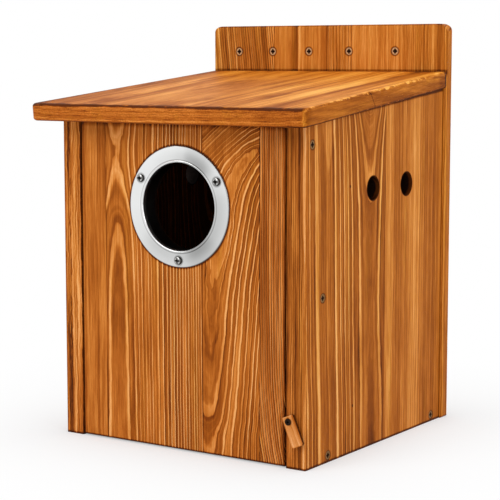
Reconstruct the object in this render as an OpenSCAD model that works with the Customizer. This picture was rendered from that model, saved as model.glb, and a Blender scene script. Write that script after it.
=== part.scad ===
// Squirrel nest box of fir boards, with a front that swings up on two pivot screws.
// Millimetres. +X to the right, +Y to the back, +Z up.
// The origin is the centre of the underside, between the front edge and the back face.

/* [Body] */
// Width over the two side panels
body_w = 250; // [210:1:320]
// Depth of the side panels, from the front edge to the back board
side_depth = 234; // [205:1:300]
// Height of the side panels at their front edge
front_h = 280; // [250:1:340]
// How much higher the side panels stand at the back board
roof_rise = 24; // [5:1:60]
// Thickness of the side panels and the door
board_t = 19; // [16:0.5:25]
// Thickness of the floor board
floor_t = 12; // [10:0.5:20]
// Radius of the eased long edges
edge_r = 1.2; // [0.4:0.1:3]

/* [Back board] */
// How far the back board stands up above the roof
back_rise = 43; // [38:1:90]
// Thickness of the back board
back_t = 12; // [9:0.5:20]
// How far the back board stands out past each side panel
back_lip = 3; // [1:0.5:12]
// Radius of the back board's two top corners
back_corner_r = 9; // [3:0.5:20]
// Radius of the back board's rounded edges
back_edge_r = 2.5; // [0.5:0.1:4]

/* [Roof] */
// Thickness of the roof board
roof_t = 15; // [12:0.5:22]
// Overhang of the roof in front of the side panels
roof_front = 26; // [10:1:50]
// Overhang past each side panel at the roof's front edge
roof_side_front = 15; // [4:1:30]
// Overhang past each side panel where the roof meets the back board
roof_side_rear = 3; // [1:0.5:12]
// Radius of the roof's front corners, seen from above
roof_corner_r = 7; // [2:0.5:15]
// Radius of the roof's rounded edges
roof_edge_r = 2.5; // [0.5:0.1:5]

/* [Door] */
// Gap between the door and each side panel
door_gap = 1.2; // [0.8:0.1:3]
// Height of the door's bottom edge above the underside
door_foot = 1; // [0.5:0.1:5]
// Gap between the door's top edge and the roof
door_head = 2.5; // [2:0.1:6]
// Gap between the door's back and the floor and rail behind it
door_back = 0.4; // [0.2:0.1:2]
// Pivot screws below the top of the side panels' front edge
pivot_drop = 17; // [14:0.5:19]
// Pivot screws behind the front face
pivot_set = 9; // [7:0.5:9.5]
// How far the pivot screws reach into the door
pivot_bite = 24; // [18:1:32]
// Running clearance round a turning screw, on the radius
run_fit = 0.05; // [0.02:0.01:0.1]

/* [Entrance] */
// Diameter of the hole in the door
hole_d = 76; // [60:1:90]
// Centre of the hole below the pivot screws
hole_drop = 55; // [52:1:90]
// Width of the ring's flange round the hole
ring_flange = 13; // [11:0.5:16]
// Thickness of the ring's metal
ring_t = 0.8; // [0.6:0.1:1.4]
// How much higher the ring's flange stands at its inner edge than at its outer edge
ring_dome = 0.6; // [0.2:0.1:1.2]
// Radius of the rolled bead at the flange's inner edge
bead_r = 1.2; // [1:0.1:2]
// How far the bead stands out of the flange
bead_proud = 0.4; // [0.2:0.1:0.8]
// Length of the ring's tube inside the hole
ring_tube = 15; // [8:0.5:16]
// Gap between the ring's tube and the hole
ring_gap = 0.3; // [0.2:0.05:1]
// Width of a ring screw's pan head
pan_d = 7; // [5:0.5:8]
// Height of a ring screw's pan head
pan_h = 2.3; // [1.5:0.1:3]
// Length of a ring screw under its head
ring_screw_len = 13; // [10:0.5:15]

/* [Vents] */
// Diameter of the vent holes
vent_d = 21; // [12:0.5:30]
// Centre of the front vent behind the side panels' front edge
vent_first = 107; // [80:1:120]
// Distance between the two vents of a side
vent_pitch = 59; // [40:1:70]
// Centres of the vents below the top of the side panels' front edge
vent_drop = 58; // [45:1:90]

/* [Rail] */
// Depth of the rail behind the door, front to back
rail_t = 13; // [10:0.5:20]
// Height of the rail
rail_h = 22; // [14:1:40]
// Centre of the rail above the underside
rail_z = 138; // [60:1:145]

/* [Latch] */
// Length of the turn button
latch_l = 26; // [20:0.5:32]
// Width of the turn button
latch_w = 9.5; // [8:0.1:11]
// Thickness of the turn button
latch_t = 4.5; // [3:0.1:8]
// Turn button's screw from its near end
latch_end = 4.5; // [4:0.1:6]
// Lean of the turn button at rest, from straight down
latch_lean = 23; // [0:1:25]
// Turn button's screw from the outer face of the side panel
latch_in = 13.4; // [12.5:0.1:13.6]
// Turn button's screw above the underside
latch_z = 40; // [36:1:80]
// Gap between the turn button and the front face
latch_gap = 0.3; // [0.2:0.05:0.6]
// Radius of the turn button's corners
latch_r = 1.5; // [0.5:0.1:3]

/* [Screws] */
// Width of a wood screw's countersunk head
head_d = 7.5; // [6.5:0.1:9]
// Width of a wood screw's shank
shank_d = 4; // [3:0.1:5]
// How deep the heads are sunk below the wood
head_sink = 0.2; // [0.1:0.05:0.6]
// Gap round a screw that is fixed in its hole
snug = 0.05; // [0.02:0.01:0.1]
// Length of the screws through the side panels and the back board
case_screw_len = 38; // [32:1:45]
// Length of the mounting screws
mount_screw_len = 30; // [25:1:60]
// Mounting screws below the top of the back board
mount_drop = 24.5; // [12:0.5:28]
// Mounting screws from the middle of the back board, to the right
mount_x = [-98, -59, -18, 26, 75];
// Floor screws from each end of the floor
floor_screw_end = 16; // [10:1:60]
// Back screws into each side panel, from its bottom and top ends
rear_screw_end = 34; // [20:1:60]
// Outer back screws into the roof and the floor, from the middle
cross_screw_x = 70; // [20:1:90]

/* [Drains] */
// Diameter of the drain holes in the floor
drain_d = 8; // [4:0.5:12]
// Drain holes from the floor's edges
drain_in = 28; // [15:1:60]

/* [Hidden] */
$fn = 64;

// Named places, front to back
y_front = -(side_depth + back_t) / 2;
y_board = y_front + side_depth;
y_back = y_board + back_t;
y_inner = y_front + board_t + door_back;

// Named heights
rear_h = front_h + roof_rise;
slope = atan(roof_rise / side_depth);
roof_top = rear_h + roof_t / cos(slope);
back_h = roof_top + back_rise;
pivot_z = front_h - pivot_drop;
hole_z = pivot_z - hole_drop;
vent_z = front_h - vent_drop;
mount_z = back_h - mount_drop;

// Half widths
inner_x = body_w / 2 - board_t;
door_x = inner_x - door_gap;
board_x = body_w / 2 + back_lip;

// Entrance ring
tube_r = hole_d / 2 - ring_gap;
flange_r = hole_d / 2 + ring_flange;
bead_x = tube_r - ring_t + bead_r;
crown = ring_t + ring_dome;
bead_z = crown + bead_proud - bead_r;
dome_w = flange_r - ring_t - bead_x;
dome_r = (dome_w * dome_w + ring_dome * ring_dome) / (2 * ring_dome);
ring_screw_circle = (bead_x + bead_r + flange_r) / 2;
seat_z = crown - dome_r + sqrt(pow(dome_r, 2) - pow(ring_screw_circle - bead_x, 2));
ring_screw_d = 3;
ring_screw_angles = [30, 150, 270];
pan_edge = 0.6;

// Screws
rim = 0.5;
tip = 5;
tip_r = 0.3;
neck_d = 3.2;
head_room = 0.35;
recess_w = 1.1;
recess_depth = 2;
recess_span = 0.56;
latch_screw_d = 3;
latch_head_d = 5.6;
latch_screw_len = 18;
pivot_screw_len = board_t + door_gap + pivot_bite;
rear_screw_count = 3;
cross_screws = [-1, 0, 1];
cut = 1;
far = 1000;

wood = "#b8692a";
wood_dark = "#8f4a1c";
wood_light = "#c98a4e";
zinc = "#b9b4a8";
steel = "#d4d6d8";
black = "#1c1814";

// Rectangle from (x0, y0) to (x1, y1) with corners of radius r
module eased(x0, x1, y0, y1, r) {
    translate([x0 + r, y0]) square([x1 - x0 - 2 * r, y1 - y0]);
    translate([x0, y0 + r]) square([x1 - x0, y1 - y0 - 2 * r]);
    for (x = [x0 + r, x1 - r], y = [y0 + r, y1 - r]) translate([x, y]) circle(r);
}

// Prisms whose outline is drawn in the XZ or YZ plane
module along_y(y0, y1) {
    translate([0, y1, 0]) rotate([90, 0, 0]) linear_extrude(y1 - y0) children();
}
module along_x(x0, x1) {
    translate([x0, 0, 0]) rotate([90, 0, 90]) linear_extrude(x1 - x0) children();
}

// Turns a screw, drawn with its head up, to enter a face
module into_right_face(y, z) { translate([body_w / 2, y, z]) rotate([0, 90, 0]) children(); }
module into_back_face(x, z) { translate([x, y_back, z]) rotate([-90, 0, 0]) children(); }
module into_front_face(x, z) { translate([x, y_front, z]) rotate([90, 0, 0]) children(); }
module into_board_front(x, z) { translate([x, y_board, z]) rotate([90, 0, 0]) children(); }
module left_copy() { mirror([1, 0, 0]) children(); }

// Cross-shaped driver recess in a head whose top is at z = 0
module cross_recess(wide) {
    intersection() {
        for (a = [0, 90]) rotate(a)
            translate([-wide / 2, -recess_w / 2, -recess_depth]) cube([wide, recess_w, recess_depth + cut]);
        translate([0, 0, -recess_depth]) cylinder(h = recess_depth + cut, r1 = recess_w / 2, r2 = wide / 2 + cut / 2);
    }
}

// Outline of a countersunk screw, grown by g and reaching up to z = top.
// A neck is a narrower plain stretch that ends at that depth, where the thread starts.
function countersunk(len, g, top, neck) = concat(
    [[0, top], [head_d / 2 + g, top], [head_d / 2 + g, -rim]],
    neck > 0
        ? [[neck_d / 2, -rim - (head_d - neck_d) / 2], [neck_d / 2, -neck], [shank_d / 2, -neck]]
        : [[shank_d / 2 + g, -rim - (head_d - shank_d) / 2]],
    [[shank_d / 2 + g, tip - len], [tip_r + g, -len - g], [0, -len - g]]
);

// Countersunk wood screw, sunk a little below z = 0
module wood_screw(len, neck = 0) {
    translate([0, 0, -head_sink]) difference() {
        rotate_extrude() polygon(countersunk(len, 0, 0, neck));
        cross_recess(head_d * recess_span);
    }
}
// Its hole, with a gap g on the radius
module screw_hole(len, g = snug) {
    translate([0, 0, -head_sink]) rotate_extrude() polygon(countersunk(len, g, head_sink + cut, 0));
}

// Where each group of screws goes
module floor_screw_spots() {
    for (y = [y_inner + floor_screw_end, y_board - floor_screw_end]) into_right_face(y, floor_t / 2) children();
}
module rail_screw_spot() { into_right_face(y_inner + rail_t / 2, rail_z) children(); }
module pivot_spot() { into_right_face(y_front + pivot_set, pivot_z) children(); }
module side_back_spots() {
    step = (rear_h - 2 * rear_screw_end) / (rear_screw_count - 1);
    for (i = [0 : rear_screw_count - 1])
        into_back_face(body_w / 2 - board_t / 2, rear_screw_end + i * step) children();
}
module roof_back_spots() {
    for (k = cross_screws) into_back_face(k * cross_screw_x, (rear_h + roof_top) / 2) children();
}
module floor_back_spots() {
    for (k = cross_screws) into_back_face(k * cross_screw_x, floor_t / 2) children();
}
module mounting_spots() {
    for (x = mount_x) into_board_front(x, mount_z) children();
}
module latch_spot() { into_front_face(body_w / 2 - latch_in, latch_z) children(); }
module ring_screw_spots() {
    into_front_face(0, hole_z) for (a = ring_screw_angles)
        rotate(a) translate([ring_screw_circle, 0, seat_z]) children();
}

module back_panel() {
    color(wood) difference() {
        intersection() {
            along_y(y_board, y_back) {
                eased(-board_x, board_x, 0, back_h - back_corner_r, back_edge_r);
                eased(-board_x, board_x, back_h / 2, back_h, back_corner_r);
            }
            linear_extrude(back_h) eased(-board_x, board_x, y_board, y_back, back_edge_r);
            along_x(-board_x, board_x) eased(y_board, y_back, -back_h, back_h, back_edge_r);
        }
        side_back_spots() screw_hole(case_screw_len);
        left_copy() side_back_spots() screw_hole(case_screw_len);
        roof_back_spots() screw_hole(case_screw_len);
        floor_back_spots() screw_hole(case_screw_len);
        mounting_spots() screw_hole(mount_screw_len);
    }
}

// Right side panel without the turn button's screw hole
module side_board() {
    difference() {
        intersection() {
            linear_extrude(rear_h) eased(inner_x, body_w / 2, y_front, y_board, edge_r);
            along_x(inner_x, body_w / 2)
                polygon([[y_front, 0], [y_board, 0], [y_board, rear_h], [y_front, front_h]]);
        }
        for (i = [0, 1]) translate([inner_x - cut, y_front + vent_first + i * vent_pitch, vent_z])
            rotate([0, 90, 0]) cylinder(h = board_t + 2 * cut, d = vent_d);
        floor_screw_spots() screw_hole(case_screw_len);
        rail_screw_spot() screw_hole(case_screw_len);
        pivot_spot() {
            screw_hole(pivot_screw_len, run_fit);
            translate([0, 0, -head_sink - head_room]) screw_hole(rim + (head_d - shank_d) / 2 + tip, run_fit);
        }
        side_back_spots() screw_hole(case_screw_len);
    }
}
module left_side_panel() { color(wood_dark) left_copy() side_board(); }
module right_side_panel() {
    color(wood_dark) difference() {
        side_board();
        latch_spot() translate([0, 0, latch_gap + latch_t + latch_gap]) latch_screw_hole();
    }
}

module floor_panel() {
    color(wood) difference() {
        translate([-inner_x, y_inner, 0]) cube([2 * inner_x, y_board - y_inner, floor_t]);
        floor_screw_spots() screw_hole(case_screw_len);
        left_copy() floor_screw_spots() screw_hole(case_screw_len);
        floor_back_spots() screw_hole(case_screw_len);
        for (sx = [-1, 1], y = [y_inner + drain_in, y_board - drain_in])
            translate([sx * (inner_x - drain_in), y, -cut]) cylinder(h = floor_t + 2 * cut, d = drain_d);
    }
}

// Roof, drawn flat with its rear lower edge on the X axis, then tilted
roof_len = (side_depth + roof_front) / cos(slope);
roof_xf = body_w / 2 + roof_side_front;
roof_xr = body_w / 2 + roof_side_rear;
flare = atan((roof_xf - roof_xr) / roof_len);
roof_spare = 10;

// Half of the roof seen from above, with its front corner rounded
module roof_plan() {
    r = roof_corner_r;
    cx = roof_xf - r * tan(flare) - r / cos(flare);
    cy = -roof_len + r;
    difference() {
        polygon([
            [0, -roof_len], [roof_xf, -roof_len],
            [roof_xr - roof_spare * tan(flare), roof_spare], [0, roof_spare]
        ]);
        polygon([[cx, cy], [cx, cy - 2 * r], [cx + 2 * r, cy - 2 * r], [cx + 2 * r * cos(flare), cy + 2 * r * sin(flare)]]);
    }
    translate([cx, cy]) circle(r);
}
// Slab with rounded edges, whose side follows the roof's flared end
module roof_end_slab() {
    translate([roof_xf, -roof_len, 0]) rotate(flare)
        along_y(-roof_len, 2 * roof_len) eased(-2 * roof_len, 0, 0, roof_t, roof_edge_r);
}
module roof_panel() {
    color(wood) difference() {
        translate([0, y_board, rear_h]) rotate([slope, 0, 0]) intersection() {
            linear_extrude(roof_t) union() {
                roof_plan();
                left_copy() roof_plan();
            }
            along_x(-roof_xf, roof_xf) eased(-roof_len, roof_len, 0, roof_t, roof_edge_r);
            roof_end_slab();
            left_copy() roof_end_slab();
        }
        translate([-far / 2, y_board, 0]) cube([far, far, far]);
        roof_back_spots() screw_hole(case_screw_len);
    }
}

module step_rail() {
    color(wood) difference() {
        along_x(-inner_x, inner_x)
            eased(y_inner, y_inner + rail_t, rail_z - rail_h / 2, rail_z + rail_h / 2, edge_r);
        rail_screw_spot() screw_hole(case_screw_len);
        left_copy() rail_screw_spot() screw_hole(case_screw_len);
    }
}

module front_door() {
    color(wood) difference() {
        intersection() {
            linear_extrude(front_h) eased(-door_x, door_x, y_front, y_front + board_t, edge_r);
            along_x(-door_x, door_x)
                eased(y_front, y_front + board_t, door_foot, front_h - door_head, edge_r);
        }
        translate([0, y_front - cut, hole_z]) rotate([-90, 0, 0]) cylinder(h = board_t + 2 * cut, d = hole_d);
        ring_screw_spots() pan_hole();
        pivot_spot() screw_hole(pivot_screw_len);
        left_copy() pivot_spot() screw_hole(pivot_screw_len);
    }
}

// Spun ring: a gently domed flange, a rolled bead and a tube that lines the hole
module ring_profile() {
    translate([tube_r - ring_t, -ring_tube]) square([ring_t, ring_tube + bead_z]);
    intersection() {
        translate([bead_x, crown - dome_r]) circle(dome_r, $fn = 360);
        union() {
            translate([bead_x, 0]) square([dome_w, crown]);
            intersection() {
                translate([bead_x + dome_w, 0]) circle(ring_t, $fn = 24);
                translate([bead_x + dome_w, 0]) square(ring_t);
            }
        }
    }
    intersection() {
        translate([bead_x, bead_z]) circle(bead_r, $fn = 32);
        translate([bead_x - bead_r, 0]) square([2 * bead_r, bead_z + bead_r]);
    }
}
module entrance_ring() {
    color(steel) into_front_face(0, hole_z) difference() {
        rotate_extrude($fn = 108) ring_profile();
        for (a = ring_screw_angles) rotate(a) translate([ring_screw_circle, 0, 0]) {
            translate([0, 0, -cut]) cylinder(h = crown + 2 * cut, d = ring_screw_d + 2 * ring_gap);
            translate([0, 0, seat_z]) cylinder(h = crown, d = pan_d + 2 * ring_gap);
        }
    }
}

// Ring screw with a pan head that rests at z = 0
module pan_screw() {
    difference() {
        rotate_extrude() union() {
            intersection() {
                polygon([
                    [0, 0], [pan_d / 2, 0], [pan_d / 2, pan_edge], [pan_d / 2 - pan_edge, pan_h], [0, pan_h]
                ]);
                translate([0, pan_h - pan_d]) circle(pan_d);
            }
            polygon([
                [0, pan_edge], [ring_screw_d / 2, pan_edge], [ring_screw_d / 2, tip / 2 - ring_screw_len],
                [tip_r, -ring_screw_len], [0, -ring_screw_len]
            ]);
        }
        translate([0, 0, pan_h]) cross_recess(pan_d * recess_span);
    }
}
module pan_hole() {
    rotate_extrude() polygon([
        [0, cut], [ring_screw_d / 2 + snug, cut], [ring_screw_d / 2 + snug, tip / 2 - ring_screw_len],
        [tip_r + snug, -ring_screw_len - snug], [0, -ring_screw_len - snug]
    ]);
}
module ring_screws() { color(zinc) ring_screw_spots() pan_screw(); }

module right_pivot_screw() { color(zinc) pivot_spot() wood_screw(pivot_screw_len); }
module left_pivot_screw() { color(zinc) left_copy() pivot_spot() wood_screw(pivot_screw_len); }

// Turn button, drawn pointing down from its screw, then leaned to the right
module turn_button() {
    color(wood_light) latch_spot() rotate(latch_lean) translate([0, 0, latch_gap]) difference() {
        linear_extrude(latch_t) eased(-latch_w / 2, latch_w / 2, latch_end - latch_l, latch_end, latch_r);
        translate([0, 0, -cut]) cylinder(h = latch_t + 2 * cut, d = latch_screw_d + 2 * run_fit);
    }
}
// Small black screw that the turn button turns on, with the underside of its head at z = 0
module turn_button_screw() {
    color(black) latch_spot() translate([0, 0, latch_gap + latch_t + latch_gap]) difference() {
        union() {
            cylinder(h = pan_edge, d = latch_head_d);
            translate([0, 0, pan_edge]) cylinder(h = pan_edge, d1 = latch_head_d, d2 = latch_head_d - 2 * pan_edge);
            rotate_extrude() polygon([
                [0, pan_edge], [latch_screw_d / 2, pan_edge], [latch_screw_d / 2, tip / 2 - latch_screw_len],
                [tip_r, -latch_screw_len], [0, -latch_screw_len]
            ]);
        }
        translate([0, 0, 2 * pan_edge]) cross_recess(latch_head_d * recess_span);
    }
}
module latch_screw_hole() {
    rotate_extrude() polygon([
        [0, cut], [latch_screw_d / 2 + snug, cut], [latch_screw_d / 2 + snug, tip / 2 - latch_screw_len],
        [tip_r + snug, -latch_screw_len - snug], [0, -latch_screw_len - snug]
    ]);
}

module right_rail_screw() { color(zinc) rail_screw_spot() wood_screw(case_screw_len); }
module left_rail_screw() { color(zinc) left_copy() rail_screw_spot() wood_screw(case_screw_len); }
module right_floor_screws() { color(zinc) floor_screw_spots() wood_screw(case_screw_len); }
module left_floor_screws() { color(zinc) left_copy() floor_screw_spots() wood_screw(case_screw_len); }
module right_back_screws() { color(zinc) side_back_spots() wood_screw(case_screw_len); }
module left_back_screws() { color(zinc) left_copy() side_back_spots() wood_screw(case_screw_len); }
module roof_back_screws() { color(zinc) roof_back_spots() wood_screw(case_screw_len); }
module floor_back_screws() { color(zinc) floor_back_spots() wood_screw(case_screw_len); }
module mounting_screws() { color(zinc) mounting_spots() wood_screw(mount_screw_len, back_t); }

back_panel();
left_side_panel();
right_side_panel();
floor_panel();
roof_panel();
step_rail();
front_door();
entrance_ring();
ring_screws();
left_pivot_screw();
right_pivot_screw();
turn_button();
turn_button_screw();
left_rail_screw();
right_rail_screw();
left_floor_screws();
right_floor_screws();
left_back_screws();
right_back_screws();
roof_back_screws();
floor_back_screws();
mounting_screws();
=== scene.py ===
"""Looks of the squirrel nest box: fir boards with a drawn growth ring figure, spun metal ring, screws."""

import math

import bmesh
import bpy
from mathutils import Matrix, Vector, noise


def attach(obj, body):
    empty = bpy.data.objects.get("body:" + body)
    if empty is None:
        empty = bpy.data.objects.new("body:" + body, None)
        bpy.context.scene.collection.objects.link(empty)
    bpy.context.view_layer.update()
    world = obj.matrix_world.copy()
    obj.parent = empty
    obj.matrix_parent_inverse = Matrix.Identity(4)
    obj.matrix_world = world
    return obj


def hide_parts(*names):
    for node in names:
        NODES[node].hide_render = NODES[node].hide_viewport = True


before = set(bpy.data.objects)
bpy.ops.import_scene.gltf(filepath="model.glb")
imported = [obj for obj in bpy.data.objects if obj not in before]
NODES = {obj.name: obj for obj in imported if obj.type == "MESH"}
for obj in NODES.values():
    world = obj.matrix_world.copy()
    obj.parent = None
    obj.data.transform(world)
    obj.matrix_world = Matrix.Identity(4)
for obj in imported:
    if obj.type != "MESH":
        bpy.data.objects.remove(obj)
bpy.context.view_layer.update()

# Lengths of the part that the looks refer to, in millimetres
Y_FRONT = -123.0
Y_BOARD = 111.0
Y_REAR = 123.0
BODY_X = 125.0
FRONT_H = 280.0
REAR_H = 304.0
SLOPE = (REAR_H - FRONT_H) / (Y_BOARD - Y_FRONT)
TILT = math.atan(SLOPE)
ROOF_TOP = 319.08
ROOF_LEN = 260.0 / math.cos(TILT)
ROOF_X = 128.0
ROOF_FRONT_X = 140.0
FLARE = (ROOF_FRONT_X - ROOF_X) / ROOF_LEN
ROOF_T = 15.0
ROOF_CORNER = 7.0
ROOF_EDGE = 2.5
HOLE = (0.0, 208.0)
RING_SCREW_R = 45.2
RING_SCREWS = [
    (RING_SCREW_R * math.cos(math.radians(a)), HOLE[1] + RING_SCREW_R * math.sin(math.radians(a)))
    for a in (30, 150, 270)
]
VENTS = [(-16.0, 222.0), (43.0, 222.0)]
SIDE_SCREWS = [(-87.6, 6.0), (95.0, 6.0), (-97.1, 138.0), (-114.0, 263.0)]
PIN_KNOTS = [(-54.0, 226.0), (-48.0, 40.5)]
MOUNT_X = (-98.0, -59.0, -18.0, 26.0, 75.0)
MOUNT_Z = 337.58
MOUNT_SPOTS = [(at, MOUNT_Z) for at in MOUNT_X]
# Screw heads lie this deep, and their shanks are clean beyond the other depth
HEAD_SUNK = 0.2
CLEAN_DEPTH = 11.0
LATCH_X = 111.6
LATCH_Z = 40.0
LATCH_LEAN = math.radians(23.0)


class Graph:
    """Builds the node tree of one material. Numbers and sockets are both taken as inputs."""

    def __init__(self, name):
        self.mat = bpy.data.materials.new(name)
        self.mat.use_nodes = True
        self.tree = self.mat.node_tree
        self.tree.nodes.clear()
        self.out = self.new("ShaderNodeOutputMaterial")
        self.bsdf = self.new("ShaderNodeBsdfPrincipled")
        self.link(self.bsdf.outputs[0], self.out.inputs["Surface"])

    def new(self, kind):
        return self.tree.nodes.new(kind)

    def link(self, a, b):
        self.tree.links.new(a, b)

    def put(self, value, socket):
        if isinstance(value, bpy.types.NodeSocket):
            self.link(value, socket)
        else:
            socket.default_value = value

    def shader(self, **values):
        """Set values of the shader itself, with _ for the spaces in their names."""
        for key, value in values.items():
            self.put(value, self.bsdf.inputs[key.replace("_", " ")])

    def math(self, op, *values):
        n = self.new("ShaderNodeMath")
        n.operation = op
        for i, v in enumerate(values):
            self.put(v, n.inputs[i])
        return n.outputs[0]

    def add(self, a, b):
        return self.math("ADD", a, b)

    def sub(self, a, b):
        return self.math("SUBTRACT", a, b)

    def mul(self, a, b):
        return self.math("MULTIPLY", a, b)

    def madd(self, a, b, c):
        return self.math("MULTIPLY_ADD", a, b, c)

    def abs(self, a):
        return self.math("ABSOLUTE", a)

    def least(self, a, b):
        return self.math("MINIMUM", a, b)

    def most(self, a, b):
        return self.math("MAXIMUM", a, b)

    def above(self, a, b):
        return self.math("GREATER_THAN", a, b)

    def length(self, a, b):
        """Length of the vector (a, b)."""
        return self.math("SQRT", self.add(self.mul(a, a), self.mul(b, b)))

    def total(self, first, *others):
        for o in others:
            first = self.add(first, o)
        return first

    def step(self, x, lo, hi, out_lo=0.0, out_hi=1.0):
        """Smooth change from out_lo to out_hi as x goes from lo to hi."""
        n = self.new("ShaderNodeMapRange")
        n.interpolation_type = "SMOOTHSTEP"
        self.put(x, n.inputs["Value"])
        for key, v in (("From Min", lo), ("From Max", hi), ("To Min", out_lo), ("To Max", out_hi)):
            self.put(v, n.inputs[key])
        return n.outputs[0]

    def halo(self, d, at, width, amount):
        """An amount on the line where the distance d is at, that fades over a width."""
        return self.step(self.abs(self.sub(d, at)), 0.1, width, amount, 0.0)

    def mix(self, f, a, b):
        n = self.new("ShaderNodeMix")
        self.put(f, n.inputs[0])
        self.put(a, n.inputs[2])
        self.put(b, n.inputs[3])
        return n.outputs[0]

    def mix_colour(self, f, a, b, blend="MIX"):
        n = self.new("ShaderNodeMix")
        n.data_type = "RGBA"
        n.blend_type = blend
        self.put(f, n.inputs[0])
        self.put(a, n.inputs[6])
        self.put(b, n.inputs[7])
        return n.outputs[2]

    def vector(self, x, y, z):
        n = self.new("ShaderNodeCombineXYZ")
        for i, v in enumerate((x, y, z)):
            self.put(v, n.inputs[i])
        return n.outputs[0]

    def noise(self, at, scale=1.0, detail=2.0, rough=0.5):
        n = self.new("ShaderNodeTexNoise")
        self.put(at, n.inputs["Vector"])
        n.inputs["Scale"].default_value = scale
        n.inputs["Detail"].default_value = detail
        n.inputs["Roughness"].default_value = rough
        return n.outputs[0]

    def grain(self, u, v, w, across, along, seed=0.0, detail=2.0, rough=0.5):
        """Noise of one fineness across and into a board, and of another along it."""
        at = self.vector(self.mul(u, across), self.madd(v, along, seed), self.mul(w, across))
        return self.noise(at, 1.0, detail, rough)

    def sway(self, base, random, amount):
        """The base, moved up and down by a noise."""
        return self.madd(self.sub(random, 0.5), amount, base)

    def chance(self, number, seed):
        """A random number from 0 to 1 for each whole number."""
        n = self.new("ShaderNodeTexWhiteNoise")
        n.noise_dimensions = "1D"
        self.put(self.add(number, seed), n.inputs["W"])
        return n.outputs[0]

    def curve(self, x, points):
        """A smooth curve through the points (x, y)."""
        xs = [p[0] for p in points]
        ys = [p[1] for p in points]
        lo, bottom = xs[0], min(ys)
        width = xs[-1] - lo
        height = max(max(ys) - bottom, 1e-6)
        n = self.new("ShaderNodeFloatCurve")
        c = n.mapping.curves[0]
        spots = [((x0 - lo) / width, (y0 - bottom) / height) for x0, y0 in points]
        c.points[0].location = spots[0]
        c.points[1].location = spots[-1]
        for s in spots[1:-1]:
            c.points.new(*s)
        n.mapping.update()
        self.put(self.math("DIVIDE", self.sub(x, lo), width), n.inputs["Value"])
        return self.madd(n.outputs[0], height, bottom)

    def ramp(self, x, stops):
        n = self.new("ShaderNodeValToRGB")
        e = n.color_ramp.elements
        e[0].position, e[0].color = stops[0]
        e[1].position, e[1].color = stops[-1]
        for p, colour in stops[1:-1]:
            e.new(p).color = colour
        self.put(x, n.inputs[0])
        return n.outputs[0]

    def bump(self, height, distance, strength):
        n = self.new("ShaderNodeBump")
        n.inputs["Strength"].default_value = strength
        n.inputs["Distance"].default_value = distance
        self.put(height, n.inputs["Height"])
        self.link(n.outputs[0], self.bsdf.inputs["Normal"])

    def place(self):
        """Object coordinates in millimetres."""
        t = self.new("ShaderNodeTexCoord")
        s = self.new("ShaderNodeSeparateXYZ")
        self.link(t.outputs["Object"], s.inputs[0])
        return [self.mul(s.outputs[i], 1000.0) for i in range(3)]


def srgb(*triple):
    """Linear colour of an sRGB triple from 0 to 255."""
    parts = [c / 255 for c in triple]
    return (*(c / 12.92 if c <= 0.04045 else ((c + 0.055) / 1.055) ** 2.4 for c in parts), 1.0)


# Stained fir, from the darkest early wood to the golden late wood
FIR = [
    (0.0, srgb(84, 38, 4)),
    (0.12, srgb(126, 60, 8)),
    (0.35, srgb(158, 84, 17)),
    (0.52, srgb(183, 103, 29)),
    (0.7, srgb(209, 129, 48)),
    (0.9, srgb(233, 158, 79)),
    (1.0, srgb(245, 180, 104)),
]
# Near black for charred stain and for the deepest painted shade, in holes, vents and behind the turn button
CHAR_AND_SHADE = (0.003, 0.0015, 0.001, 1.0)
REDDER = (1.0, 0.95, 0.9, 1.0)
YELLOWER = (1.0, 1.07, 0.9, 1.0)
FIR_ROUGH = (0.6, 0.46)
FIR_SPECULAR = 0.065
FIR_RELIEF = 0.00025
# Tone across one growth ring, from the inner side to the outer side, and the tone that its lines vary about
RING = [
    (0, 0.1), (0.06, 0.04), (0.2, 0.3), (0.45, 0.36), (0.62, 0.22),
    (0.73, 0.6), (0.83, 1.0), (0.93, 0.98), (1.0, 0.12),
]
RING_MIDDLE = 0.4
# All staves are this much darker than their own tone says
AGED = 0.07

# A stave's figure is drawn from these entries. Lengths are in millimetres, tones go from 0 (dark) to 1
# (golden), and a curve along the stave has points (height, value).
#   edge: where the stave begins. seam: how dark the glue line is there.
#   centre, depth: curves of the growth rings' centre, across the board and behind its face.
#   rings: points (radius, number of the ring). contrast: strength of the rings, negative for dark lines.
#   calm: a curve of the radius within which the rings are weaker, and how weak they are.
#   far: two radii between which the strength changes, and the strength beyond them.
#   hush: spots with weaker rings, each from and to along, from and to across, and the strength there.
#   wave, shake: how far the rings waver, in long and in short waves.
#   lines, line: strength and fineness of thin lines along the rings. streak: strength of the dark streaks.
#   bands, band: strength and fineness of the broad bands. dash: strength of the short dark dashes.
#   tone: the stave's tone. profile: points (place across, tone) in its stead. hue: tint of the stave.


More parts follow.
